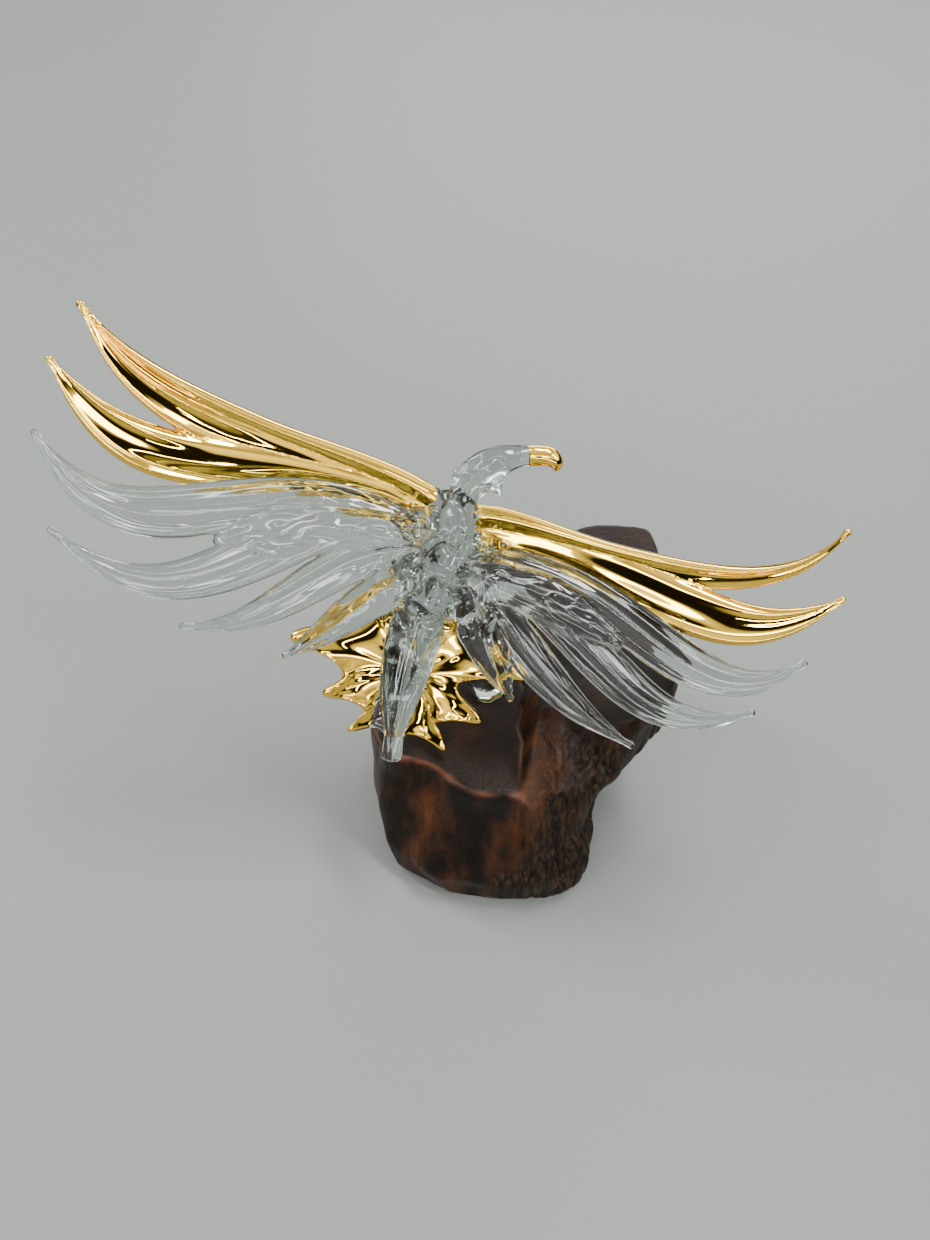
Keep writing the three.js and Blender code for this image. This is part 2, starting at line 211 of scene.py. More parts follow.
def varnished_driftwood():
    """Old dark wood under satin varnish: red-brown knife facets, black streaks, matt bark, and worn edges
    with a painted highlight.
    """
    material, tree = new_material("varnished_driftwood")
    place = add_node(tree, "ShaderNodeTexCoord").outputs["Object"]
    bark = add_node(tree, "ShaderNodeAttribute", {"attribute_name": "bark"}).outputs["Fac"]
    wear_and_highlight = add_node(tree, "ShaderNodeAttribute", {"attribute_name": "wear_and_highlight"}).outputs["Fac"]
    upright = add_node(tree, "ShaderNodeMapping", {"Scale": (1, 1, STREAK_STRETCH)}, {"Vector": place})
    threads = add_node(tree, "ShaderNodeMapping", {"Scale": (1, 1, GRAIN_STRETCH)}, {"Vector": place})
    patches = add_node(tree, "ShaderNodeTexNoise", {
        "Scale": 1 / (WOOD_STREAK * MM), "Detail": 5, "Roughness": 0.62,
    }, {"Vector": upright.outputs[0]})
    grain = add_node(tree, "ShaderNodeTexNoise", {
        "Scale": 1 / (WOOD_GRAIN * MM), "Detail": 4, "Roughness": 0.6,
    }, {"Vector": threads.outputs[0]})
    tone = add_node(tree, "ShaderNodeValToRGB", links={"Fac": patches.outputs[0]})
    ramp(tone, [(0.36, "#080503"), (0.46, "#1b0f07"), (0.56, "#3a200f"), (0.7, "#5e3617")])
    fine = add_node(tree, "ShaderNodeMix", {"data_type": "RGBA", "blend_type": "MULTIPLY", "Factor": 0.6}, {
        "A": tone.outputs[0], "B": grain.outputs[0],
    })
    level = add_node(tree, "ShaderNodeAttribute", {"attribute_name": "level"}).outputs["Fac"]
    polished = add_node(tree, "ShaderNodeMix", {"data_type": "RGBA", "B": linear("#130e0b")}, {
        "Factor": level, "A": fine.outputs["Result"],
    })
    # The lighter red-brown on the rounded plateau edge is wear and a painted highlight, laid in as colour
    # where the edge would catch the light
    rubbed_and_lit = add_node(tree, "ShaderNodeMix", {"data_type": "RGBA", "B": linear("#5c3a2a")}, {
        "Factor": wear_and_highlight, "A": polished.outputs["Result"],
    })
    bark_tone = add_node(tree, "ShaderNodeValToRGB", links={"Fac": grain.outputs[0]})
    ramp(bark_tone, [(0.38, "#080503"), (0.52, "#1e130b"), (0.7, "#3c2a1a")])
    colour = add_node(tree, "ShaderNodeMix", {"data_type": "RGBA"}, {
        "Factor": bark, "A": rubbed_and_lit.outputs["Result"], "B": bark_tone.outputs[0],
    })
    gloss = add_node(tree, "ShaderNodeMapRange", {"To Min": 0.38, "To Max": 0.55}, {"Value": bark})
    bump = add_node(tree, "ShaderNodeBump", {"Strength": 0.6, "Distance": WOOD_GRAIN_DEPTH * MM}, {
        "Height": grain.outputs[0],
    })
    shader = add_node(tree, "ShaderNodeBsdfPrincipled", {
        "IOR": 1.5, "Specular IOR Level": 0.12, "Coat Weight": 0.03, "Coat Roughness": 0.15,
    }, {
        "Base Color": colour.outputs["Result"], "Roughness": gloss.outputs["Result"],
        "Normal": bump.outputs[0],
    })
    finish_material(tree, shader)
    return material


FIGURE_FINISHES = [borosilicate_glass(), fired_gold()]
WOOD_FINISH = varnished_driftwood()


def to_frame(points):
    """Points in shares of the figure, turned and placed in the frame, in millimetres."""
    points = np.asarray(points, float) * SHARE
    return points @ FIGURE_TURN[:3, :3].T + FIGURE_TURN[:3, 3]


def unit(vectors):
    """Vectors of length one, one to a row."""
    return vectors / np.linalg.norm(vectors, axis=-1, keepdims=True)


def clamped(value):
    """A number, kept between 0 and 1."""
    return min(1, max(0, value))


def object_from(name, points, faces, finishes, materials):
    """A mesh object from points in millimetres, with the number of a material for each face."""
    mesh = bpy.data.meshes.new(name)
    mesh.from_pydata([tuple(point) for point in np.asarray(points) * MM], [], faces)
    mesh.update()
    for material in materials:
        mesh.materials.append(material)
    made = bpy.data.objects.new(name, mesh)
    bpy.context.scene.collection.objects.link(made)
    made.data.polygons.foreach_set("material_index", finishes)
    return made


def loft(name, rings, materials, finish=GLASS, ring_finish=None, flow=None):
    """A closed skin over rings of points, each ring with the same number of points."""
    rings = np.asarray(rings)
    flow = rings if flow is None else np.asarray(flow)
    steps, count = rings.shape[:2]
    ring_finish = ring_finish or [finish] * steps
    points = np.vstack([rings.reshape(-1, 3), rings[0].mean(0), rings[-1].mean(0)])
    faces = []
    finishes = []
    for step in range(steps - 1):
        for side in range(count):
            after = (side + 1) % count
            low = step * count
            faces.append((low + side, low + after, low + count + after, low + count + side))
            finishes.append(ring_finish[step])
    for ring, centre, turn in ((0, steps * count, -1), (steps - 1, steps * count + 1, 1)):
        for side in range(count):
            pair = (ring * count + side, ring * count + (side + 1) % count)[::turn]
            faces.append((*pair, centre))
            finishes.append(ring_finish[ring])
    made = object_from(name, points, faces, finishes, materials)
    drawn = np.vstack([flow.reshape(-1, 3), flow[0].mean(0), flow[-1].mean(0)])
    along = made.data.attributes.new("flow", "FLOAT_VECTOR", "POINT")
    along.data.foreach_set("vector", (drawn * MM).ravel())
    shell = bmesh.new()
    shell.from_mesh(made.data)
    if shell.calc_volume(signed=True) < 0:
        bmesh.ops.reverse_faces(shell, faces=shell.faces)
    shell.to_mesh(made.data)
    shell.free()
    return made


def closed_curve(corners, count, tension):
    """Points on a smooth closed curve through some corners, and the way inward at each."""
    total = len(corners)
    place = np.arange(count) / count * total
    index = place.astype(int)
    rest = (place - index)[:, None]
    before, start, end, after = (corners[(index + step) % total] for step in (-1, 0, 1, 2))
    leave = tension * (end - before)
    arrive = tension * (after - start)
    curve = (
        (2 * rest**3 - 3 * rest**2 + 1) * start + (rest**3 - 2 * rest**2 + rest) * leave
        + (3 * rest**2 - 2 * rest**3) * end + (rest**3 - rest**2) * arrive
    )
    ahead = np.roll(curve, -1, axis=0) - np.roll(curve, 1, axis=0)
    inward = unit(np.stack([-ahead[:, 1], ahead[:, 0]], 1))
    return curve, inward


def bezier(path, share):
    """Points and directions along a cubic curve of four points."""
    start, leave, arrive, end = np.asarray(path, float)
    share = share[:, None]
    rest = 1 - share
    at = rest**3 * start + 3 * rest**2 * share * leave + 3 * rest * share**2 * arrive + share**3 * end
    ahead = rest**2 * (leave - start) + 2 * rest * share * (arrive - leave) + share**2 * (end - arrive)
    return at, ahead


def feather_width(share, root, wide, peak, taper):
    """Half width along a feather: from its root to its widest place, then down to a bead."""
    rising = root + (wide - root) * np.sin(0.5 * np.pi * np.minimum(share / peak, 1)) ** 2
    falling = wide * np.maximum(0, np.cos(0.5 * np.pi * (share - peak) / (1 - peak))) ** taper
    return np.where(share < peak, rising, falling)


def hump(x, centre, reach):
    """A smooth hump of height one."""
    return np.exp(-(((x - centre) / reach) ** 2))


# The relief of each kind of feather, from leading edge, -1, to trailing edge, 1
def scored(x, share, seed, count, depth):
    """Narrow grooves that the shaping tool has drawn along the hot glass."""
    total = 0 * x
    for groove in range(count):
        turn = seed + 2.4 * groove
        place = -0.78 + 1.56 * (groove + 0.5) / count + 0.07 * math.sin(turn)
        drift = 0.1 * np.sin(2.2 * share + turn) + 0.025 * np.sin(11 * share + 2 * turn)
        fade = 0.6 + 0.4 * np.sin(4 * share + 1.7 * turn)
        total = total - depth * fade * hump(x, place + drift, 0.11)
    return total


def flowing(x, share, seed):
    """The slow, irregular swelling of glass that was drawn out while soft."""
    return np.array([noise.noise(Vector((1.4 * one, 2.6 * share, seed))) for one in x])


def clear_top(x, share, seed):
    """Rolled rims towards the tip, a low ridge that wanders along the middle, and shallow scoring."""
    outer = np.clip((share - 0.25) / 0.35, 0, 1)
    rims = 0.75 * outer * hump(np.abs(x), 0.82, 0.14)
    ridge = 0.5 * hump(x, -0.05 + 0.12 * np.sin(3 * share + seed), 0.24)
    body = 0.5 + rims + ridge + 0.6 * flowing(x, share, seed) + scored(x, share, seed, 2, 0.25)
    return (1 - np.abs(x) ** 6) ** 0.5 * body


def web_top(x, share, seed):
    """Swollen and smooth, with slow swirls where the feathers were fused on."""
    swirls = 0.5 * flowing(x, 1.4 * share, seed) + 0.3 * flowing(2 * x, 3 * share, seed + 9)
    return (1 - np.abs(x) ** 4) ** 0.5 * (0.62 + swirls)


def rod_top(x, share, seed):
    """The stout rod along a gilded wing's leading edge, with a flank that slopes away behind it."""
    rod = 0.55 * hump(x, -0.55, 0.34)
    flank = 0.62 - 0.3 * x
    return (1 - np.abs(x) ** 4) ** 0.5 * (flank + rod + 0.14 * flowing(x, share, seed))


def palm_top(x, share, seed):
    """A gilded palm: it slopes down from the leading edge to a rolled trailing rim."""
    rim = 0.5 * np.clip(share / 0.5, 0.25, 1) * hump(x, 0.8, 0.15)
    lead = 0.35 * np.clip((share - 0.45) / 0.3, 0, 1) * hump(x, -0.66, 0.24)
    slope = 0.6 - 0.42 * x
    return (1 - np.abs(x) ** 4) ** 0.5 * (slope + rim + lead + 0.22 * flowing(x, share, seed))


def roof_top(x, share, seed):
    """Folded like a roof, with lengthwise scoring on both slopes."""
    fold = 1.15 - np.sqrt(x**2 + 0.001)
    body = fold + 0.12 * flowing(x, share, seed) + scored(x, share, seed, 3, 0.05)
    return (1 - np.abs(x) ** 6) ** 0.5 * body


def under_side(x, share, seed):
    """Flatter than the upper side, with a slow swelling of its own."""
    return -(1 - np.abs(x) ** 4) ** 0.5 * (0.5 + 0.3 * flowing(x, share, seed + 40))


def gilt_lift(across):
    """How far out of the back the gilded layer lies: the wings rise away from the body."""
    return -3.2 + 0.14 * np.abs(across) + 0.00175 * across**2


def clear_lift(across):
    """How far out of the back the clear layer lies, above the gilded one."""
    return 1.6 + 0.12 * np.abs(across) + 0.00125 * across**2


def body_lift(across):
    """How far out of the back the feathers beside the tail lie."""
    return 2.4 + 0 * across


def feather(name, path, root, wide, peak, lift, top, thickness, finish=GLASS, taper=0.85, blunt=0, seed=0.0):
    """One feather, drawn along a curve of four points on its wing's surface."""
    length = np.linalg.norm(np.diff(np.asarray(path, float), axis=0), axis=1).sum() * SHARE
    bead = BEAD_RADIUS / length
    body = (1 - bead) * np.linspace(0, 1, FEATHER_STATIONS) ** 0.9
    ball = 1 - bead + bead * np.sin(np.linspace(0, 0.5 * np.pi, BEAD_STATIONS + 1)[1:]) * 0.995
    share = np.concatenate([body, ball])
    at, ahead = bezier(path, share)
    across = at[:, 0]
    slope = (lift(across + 1) - lift(across - 1)) / 2
    out = unit(np.stack([-slope, 0 * slope, 1 + 0 * slope], 1))
    along = unit(np.stack([ahead[:, 0], ahead[:, 1], ahead[:, 0] * slope], 1))
    side = 1 if path[3][0] < path[0][0] else -1
    sideways = np.cross(out, along) * side
    centre = np.stack([across, at[:, 1], lift(across)], 1) * SHARE

    tip = TIP_RADIUS + blunt * SHARE
    half_width = np.maximum(feather_width(share, root, wide, peak, taper) * SHARE, tip)
    if not blunt:
        half_width += (BEAD_RADIUS - TIP_RADIUS) * hump(share, 1 - bead, 1.3 * bead)
    half_thick = np.maximum(0.5 * thickness * np.minimum(1, 1.6 * np.sqrt(1.05 - share)), TIP_RADIUS)
    closing = np.sqrt(np.maximum(0, 1 - (np.maximum(0, share - 1 + bead) / bead) ** 2))
    roundness = np.clip((share - 0.9) / (0.1 - bead), 0, 1) ** 2 * (0 if blunt else 1)

    upper = np.linspace(0, np.pi, SECTION_TOP)
    lower = np.linspace(np.pi, 2 * np.pi, SECTION_BOTTOM + 2)[1:-1]
    angle = np.concatenate([upper, lower])
    even = np.concatenate([np.linspace(-1, 1, SECTION_TOP), np.linspace(1, -1, SECTION_BOTTOM + 2)[1:-1]])
    x = 0.4 * -np.cos(angle) + 0.6 * even
    on_top = angle <= np.pi
    rings = []
    flow = []
    for step, s in enumerate(share):
        y = np.concatenate([top(x[on_top], s, seed), under_side(x[~on_top], s, seed)]) * half_thick[step]
        round_y = np.sqrt(1 - x**2) * np.where(on_top, 1, -1) * half_width[step]
        y = y * (1 - roundness[step]) + round_y * roundness[step]
        wide_x = x * half_width[step] * closing[step]
        high_y = y * closing[step]
        flow.append(np.column_stack([0 * x + s * length, wide_x, high_y + 40 * seed]))
        ring = centre[step] + wide_x[:, None] * sideways[step] + high_y[:, None] * out[step]
        rings.append(to_frame(ring / SHARE))
    return loft(name, rings, FIGURE_FINISHES, finish, flow=flow)


# Gilded wings: a long leading rod, and a broad palm that ends in the second finger
GILT_FEATHERS = [
    dict(path=[(-2, 10), (-18.8, 16), (-37.6, 12.4), (-50, 24.4)], root=3.2, wide=2, peak=0.5, top=rod_top),
    dict(path=[(-3, 8.4), (-18.4, 15.4), (-40.4, 8.4), (-49.6, 24.4)], root=2.4, wide=2.6, peak=0.4),
    dict(path=[(-6, 10), (-31.6, 13), (-38.8, 2.4), (-52, 17.2)], root=2.8, wide=3.2, peak=0.6),
    dict(path=[(2.4, 9.4), (16.4, 13), (42, 6), (48.4, 22.4)], root=3.4, wide=2, peak=0.4, top=rod_top),
    dict(path=[(4, 8.8), (30.4, 11.6), (38.4, 0), (50.4, 14)], root=3.1, wide=3.3, peak=0.52),
]

# Clear wings: three sickle feathers a side
CLEAR_FEATHERS = [
    dict(path=[(-4, 7.6), (-25.2, 14.8), (-36.8, -9.6), (-51.2, 8.4)], root=2, wide=3.4, peak=0.55),
    dict(path=[(-3, 6.8), (-23.2, 10.4), (-26.4, -16.4), (-47.6, -2.8)], root=2, wide=3.3, peak=0.42),
    dict(path=[(-3, 5.6), (-15.6, 2.8), (-17.6, -10), (-30.4, -11.6)], root=2, wide=2.8, peak=0.28),
    dict(path=[(3.4, 6), (24.4, 11.2), (36.4, -9.2), (47.6, 5.2)], root=1.8, wide=3, peak=0.5),
    dict(path=[(3.4, 5), (22.8, 4), (29.2, -13.6), (43.6, -2.8)], root=1.8, wide=3, peak=0.42),
    dict(path=[(3.4, 4), (16.4, -5.2), (18.8, -9.2), (30.8, -12)], root=2.4, wide=2.8, peak=0.3),
]

# The smooth web of each clear wing, that its feathers grow out of
CLEAR_WEBS = [
    dict(path=[(-3, 7), (-14, 8.4), (-22, 4), (-28.6, 0)], root=2.8, wide=4.4, peak=0.6),
    dict(path=[(3.4, 4.6), (12, 4.2), (20, 3), (25.6, 0.2)], root=2, wide=3.4, peak=0.55),
]

# Tertials beside the tail, and the long chisel-ended tail blade
ROOF_FEATHERS = [
    dict(path=[(-1.6, 3.4), (-8.4, -2), (-11.6, -8.4), (-17.2, -13.2)], root=2.9, wide=2.9, peak=0.2),
    dict(path=[(4, 3.4), (7.2, -2.8), (10.8, -7.2), (14, -11.2)], root=3.2, wide=3.4, peak=0.2),
    dict(path=[(-0.2, 2), (-1.4, -7), (-1, -14), (0.4, -23.6)], root=2.6, wide=3.7, peak=0.3, blunt=1),
]

# Each kind of feather: its list, layer, upper side, thickness, finish, and step between seeds
FEATHER_KINDS = [
    ("clear", CLEAR_FEATHERS, clear_lift, clear_top, CLEAR_THICKNESS, GLASS, 1.7),
    ("web", CLEAR_WEBS, clear_lift, web_top, WEB_THICKNESS, GLASS, 5.1),
    ("roof", ROOF_FEATHERS, body_lift, roof_top, TAIL_THICKNESS, GLASS, 2.3),
    ("gilt", GILT_FEATHERS, gilt_lift, palm_top, GILT_THICKNESS, GOLD, 1.1),
]

# Gilded tail fan: one ruffled sheet, with a rounded ridge out to each of its points
FAN_ROOT = np.array([0, -2])
FAN_MIDDLE = np.array([0, -12])
FAN_TIPS = [
    (15.8, -8.6), (11.4, -16.4), (7.6, -21.8), (0, -22.8), (-6.6, -22.5), (-11.2, -18.2), (-17.3, -11.2),
]
FAN_NOTCHES = [
    (8.6, -6.2), (6.7, -11.9), (5.1, -18.4), (2.2, -21.4), (-2.6, -21.6), (-5.2, -18.9), (-9.4, -14.3),
]
FAN_SHOULDERS = [(-9.6, -6.4), (-2.4, -1), (2.4, -1)]
FAN_DEPTH = -4
FAN_RUFFLE = 0.85
FAN_RIDGE = 2.1
FAN_TENSION = 0.65
FAN_FOLDS = 0.07
FAN_RIM = 0.93

# The strip of the fan that was left ungilded, behind the long tail blade: left, right and upper end
BARE_STRIP = (-3.9, 1.6, -4.5)


def fan_surface(flat):
    """How far out of the back the middle of the sheet lies at a place."""
    reach = np.linalg.norm(flat - FAN_ROOT, axis=1)
    between = np.ones(len(flat))
    for tip in FAN_TIPS:
        way = unit(np.array(tip) - FAN_ROOT)
        foot_of = np.clip((flat - FAN_ROOT) @ way, 0, None)
        aside = np.linalg.norm(flat - FAN_ROOT - foot_of[:, None] * way, axis=1)
        between *= 1 - np.exp(-((aside / FAN_RIDGE) ** 2))
    folds = []
    for place, far in zip(flat - FAN_ROOT, reach):
        folds.append(noise.noise(Vector((4 * math.atan2(*place), 2, 0.12 * far))))
    ruffle = FAN_RUFFLE * (1 - 2 * between) * np.minimum(1, reach / 7) + FAN_FOLDS * np.array(folds)
    return FAN_DEPTH + 0.02 * np.abs(flat[:, 0]) ** 1.5 + ruffle


def tail_fan():
    """The fan as one closed skin: over the upper side, round the rim and back below."""
    edge = [corner for pair in zip(FAN_NOTCHES, FAN_TIPS) for corner in pair] + FAN_SHOULDERS
    curve, _ = closed_curve(np.array(edge, float), FAN_SIDES, FAN_TENSION)
    web = np.array([0.03, 0.12, 0.22, 0.32, 0.42, 0.52, 0.61, 0.69, 0.76, 0.82, 0.87, 0.9, FAN_RIM])
    rolled = FAN_RIM + (1 - FAN_RIM) * np.sin(np.linspace(0, 0.5 * np.pi, 6)[1:])
    reach = np.concatenate([web, rolled])
    closing = np.sqrt(np.maximum(0, 1 - (np.maximum(0, reach - FAN_RIM) / (1 - FAN_RIM)) ** 2))
    thick = 0.5 * FAN_THICKNESS * closing * (0.6 + 0.4 * hump(reach, FAN_RIM, 0.07))
    rings = []
    for share, rise in [*zip(reach, thick), *zip(reach[-2::-1], -thick[-2::-1])]:
        flat = FAN_MIDDLE + (curve - FAN_MIDDLE) * share
        rings.append(to_frame(np.column_stack([flat, fan_surface(flat) + rise / SHARE])))
    fan = loft("tail_fan", rings, FIGURE_FINISHES, GOLD)
    leave_bare(fan)
    return fan


def leave_bare(fan):
    """Take the gold off the strip behind the long tail blade."""
    left, right, upper_end = BARE_STRIP
    back = np.linalg.inv(FIGURE_TURN)
    for face in fan.data.polygons:
        place = back[:3, :3] @ (np.array(face.center) / MM) + back[:3, 3]
        if left < place[0] / SHARE < right and place[1] / SHARE < upper_end:
            face.material_index = GLASS


# Round body, neck, turned head and hooked beak: across, along, out, half width
BODY_LINE = [
    (0, -10, 1.2, 0.6), (0, -5.5, 1.2, 1.8), (0, -1.5, 0.8, 3.1), (0.3, 2, 0.4, 4.1),
    (0.8, 5.5, 0.4, 4.2), (0.9, 9.2, 0.6, 2.9), (0.6, 12.2, 1, 1.9), (0.8, 14.6, 1.4, 2.2),
    (2.2, 17.3, 1.7, 2.8), (4.4, 19.3, 1.8, 2.4), (6.8, 20.5, 1.7, 1.6), (8.8, 21.2, 1.7, 1.3),
    (10.2, 21.3, 1.7, 1.3), (11.2, 20.7, 1.7, 1), (11.4, 19.8, 1.7, 0.5),
]
BEAK_STARTS = 0.735
BREAST_LINE = [
    (0, -6, -3.8, 1.5), (0.1, -3, -3.2, 2.4), (0.2, 0.5, -2.4, 3.2), (0.4, 4.5, -2.2, 3.8),
    (0.5, 8.5, -2.4, 3.6), (0.2, 11.5, -2, 3.3), (0.6, 14, -0.6, 1.8),
]
TUFTS = [
    [(1.8, 17, 1.8, 1.3), (0.2, 16.8, 2.2, 0.9), (-1.6, 15.9, 2.6, 0.3)],
    [(1.4, 15, 1.8, 1.2), (0.2, 14.2, 2.2, 0.8), (-1.1, 13, 2.6, 0.3)],
    [(3.2, 17.4, 1.8, 1.6), (4.2, 16.2, 2.2, 1.1), (5, 14.6, 2.4, 0.3)],
]
SHOULDERS = [
    [(0, 7, -0.4, 3.2), (-3.6, 8.2, -0.5, 3), (-7.6, 9, -0.8, 1.8)],
    [(1, 6.6, -0.4, 3.2), (4, 7.2, -0.5, 2.8), (7.4, 7.8, -0.8, 1.6)],
]
FLATNESS = 0.9

# How deep the slow swelling, the threads and the lengthwise flutes of the round forms are
BODY_SCORING = 0.27
BREAST_SCORING = 0.2
SHOULDER_SCORING = 0.12
TUFT_SCORING = 0.08
FLUTES = 9

# The foot from its bead up: share of the way to the belly, share of its radius
FOOT_PROFILE = [(0, 1), (0.07, 1.05), (0.15, 0.75), (0.35, 0.5), (0.7, 0.6), (1, 0.8)]


def through_points(line, share):
    """Values on a smooth curve through a list of points, evenly spaced from first to last."""
    line = np.asarray(line, float)
    last = len(line) - 1
    place = np.clip(share * last, 0, last - 1e-9)
    index = place.astype(int)
    rest = (place - index)[:, None]
    before = line[np.maximum(index - 1, 0)]
    start = line[index]
    end = line[index + 1]
    after = line[np.minimum(index + 2, last)]
    return 0.5 * (
        2 * start + (end - before) * rest
        + (2 * before - 5 * start + 4 * end - after) * rest**2
        + (3 * start - before - 3 * end + after) * rest**3
    )


def rounded_tube(name, line, stations, scoring, gold_from=None):
    """A round, slightly flattened tube through points that each give their own half width."""
    closing = np.concatenate([[0.0], np.linspace(0.004, 0.996, stations), [1.0]])
    values = through_points(line, closing)
    ahead = np.gradient(values[:, :3], axis=0)
    along = unit(ahead)
    across = unit(np.cross([0, 0, 1], along))
    out = np.cross(along, across)
    angle = np.linspace(0, 2 * np.pi, BODY_SIDES, endpoint=False)
    rings = []
    flow = []
    length = np.linalg.norm(np.diff(np.asarray(line)[:, :3], axis=0), axis=1).sum() * SHARE
    around = np.column_stack([np.cos(angle), np.sin(angle), 0 * angle])
    for step, share in enumerate(closing):
        still = 1 if gold_from is None or share < gold_from else 0
        swell = np.array([noise.noise(Vector(way) * 1.6 + Vector((0, 0, 5 * share))) for way in around])
        threads = np.array([noise.noise(Vector(way) * 4 + Vector((0, 0, 3 * share + 9))) for way in around])
        flutes = 0.3 * np.cos(FLUTES * angle + 6 * swell)
        relief = scoring * still * (1.4 * swell - 2 * np.abs(threads) + flutes)
        reach = values[step, 3] * (1 + relief) * min(1, 12 * min(share, 1 - share) + 0.35)
        ring = (
            values[step, :3]
            + (reach * np.cos(angle))[:, None] * across[step]
            + (reach * FLATNESS * np.sin(angle))[:, None] * out[step]
        )
        rings.append(to_frame(ring))
        flow.append(np.column_stack([
            0 * angle + share * length, reach * around[:, 0] * SHARE, reach * around[:, 1] * SHARE,
        ]))
    finishes = [GOLD if gold_from and share >= gold_from else GLASS for share in closing]
    return loft(name, rings, FIGURE_FINISHES, ring_finish=finishes, flow=flow)


def foot():
    """A clear foot that runs from the belly down to a bead on the plateau."""
    seat = np.array([FOOT_SHARE[0] * BASE_WIDTH, FOOT_SHARE[1] * BASE_DEPTH, PLATEAU_HEIGHT + SEAT_GAP])
    belly = to_frame([(0.4, 1, -1)])[0]
    profile = through_points(FOOT_PROFILE, np.linspace(0, 1, FOOT_STATIONS))
    angle = np.linspace(0, 2 * np.pi, BODY_SIDES, endpoint=False)
    rings = []
    for share, thick in profile:
        at = seat + (belly - seat) * share
        reach = FOOT_RADIUS * thick
        rings.append(at + reach * np.column_stack([np.cos(angle), np.sin(angle), 0 * angle]))
    return loft("foot", rings, FIGURE_FINISHES)


def below_seat():
    """Everything that would reach below the seat is ground flat there."""
    reach = WINGSPAN
    corners = np.array([(-reach, -reach), (reach, -reach), (reach, reach), (-reach, reach)], float)
    levels = [-reach, PLATEAU_HEIGHT + SEAT_GAP]
    return loft("below_seat", [np.column_stack([corners, np.full(4, z)]) for z in levels], FIGURE_FINISHES)


def combine(base, others, operation):
    """The exact union of some closed skins, or the first one cut by the others."""
    for other in others:
        cut = base.modifiers.new("combine", "BOOLEAN")
        cut.operation = operation
        cut.solver = "MANIFOLD"
        cut.object = other
        graph = bpy.context.evaluated_depsgraph_get()
        mesh = bpy.data.meshes.new_from_object(base.evaluated_get(graph))
        base.modifiers.clear()
        base.data = mesh
        bpy.data.objects.remove(other)
    return base


def soften(shell, vertices):
    """One round of evening out some points among their neighbours."""
    bmesh.ops.smooth_vert(
        shell, verts=vertices, factor=0.5, use_axis_x=True, use_axis_y=True, use_axis_z=True
    )


def swirl(place):
    """How far fused glass stands out at a place: bent lumps, with creases where tongues of it folded."""
    bent = place + 4 * noise.noise_vector(place / 12)
    lumps = 1.5 * noise.noise(bent / 7) + 0.6
    creases = 2.2 * abs(noise.noise(bent / 6 + Vector((5, 5, 5))))
    return lumps - creases


def mend_slivers(shell):
    """Where a sliver has closed up, its two faces lie back to back: both go, and the skin is closed there."""
    on_corners = {}
    for face in shell.faces:
        on_corners.setdefault(frozenset(face.verts), []).append(face)
    flaps = [face for pair in on_corners.values() if len(pair) == 2 for face in pair]
    bmesh.ops.delete(shell, geom=flaps, context="FACES")
    rim = [vertex for vertex in shell.verts if vertex.is_boundary]
    bmesh.ops.remove_doubles(shell, verts=rim, dist=SLIVER_RIM * MM)
    alone = [face for face in shell.faces if all(edge.is_boundary for edge in face.edges)]
    bmesh.ops.delete(shell, geom=alone, context="FACES")
    bmesh.ops.delete(shell, geom=[edge for edge in shell.edges if edge.is_wire], context="EDGES")
    bmesh.ops.delete(shell, geom=[vertex for vertex in shell.verts if not vertex.link_faces], context="VERTS")


def melt_seams(made):
    """Round the inner corners where one form runs into another, and swirl the glass that fused there."""
    shell = bmesh.new()
    shell.from_mesh(made.data)
    bmesh.ops.remove_doubles(shell, verts=shell.verts, dist=SLIVER * MM)
    bmesh.ops.dissolve_degenerate(shell, edges=shell.edges, dist=SLIVER / 2 * MM)
    bmesh.ops.triangulate(shell, faces=shell.faces)
    mend_slivers(shell)
    near = set()
    for edge in shell.edges:
        if len(edge.link_faces) == 2 and edge.calc_face_angle_signed() < -SEAM_ANGLE:
            near.update(edge.verts)
    for _ in range(SEAM_REACH):
        near |= {edge.other_vert(vertex) for vertex in near for edge in vertex.link_edges}
    seam = [vertex for vertex in shell.verts if vertex in near]
    for _ in range(SEAM_ROUNDS):
        soften(shell, seam)
    shell.normal_update()
    middle = Vector(to_frame(np.array([SWIRL_MIDDLE]))[0])
    for vertex in shell.verts:
        place = vertex.co / MM
        weight = clamped(1.5 - (place - middle).length / (SWIRL_REACH * SHARE))
        if weight > 0 and all(face.material_index == GLASS for face in vertex.link_faces):
            vertex.co += vertex.normal * (weight * SWIRL_DEPTH * swirl(place) * MM)
    shell.to_mesh(made.data)
    shell.free()


def glass_eagle():
    """The whole figure: every form is fused into one skin, glass and gold."""
    parts = [rounded_tube("body", BODY_LINE, BODY_STATIONS, BODY_SCORING, BEAK_STARTS)]
    parts.append(rounded_tube("breast", BREAST_LINE, BREAST_STATIONS, BREAST_SCORING))
    parts += [rounded_tube("tuft", line, TUFT_STATIONS, TUFT_SCORING) for line in TUFTS]
    parts += [rounded_tube("shoulder", line, TUFT_STATIONS, SHOULDER_SCORING) for line in SHOULDERS]
    parts.append(foot())
    for name, feathers, lift, top, thickness, finish, seed_step in FEATHER_KINDS:
        for number, one in enumerate(feathers):
            shape = {"top": top, **one}
            seed = seed_step * number
            parts.append(feather(name, lift=lift, thickness=thickness, finish=finish, seed=seed, **shape))
    parts.append(tail_fan())
    whole = combine(parts[0], parts[1:], "UNION")
    whole = combine(whole, [below_seat()], "DIFFERENCE")
    melt_seams(whole)
    whole.name = "eagle_glass_and_gold"
    whole.data.polygons.foreach_set("use_smooth", [True] * len(whole.data.polygons))
    return whole


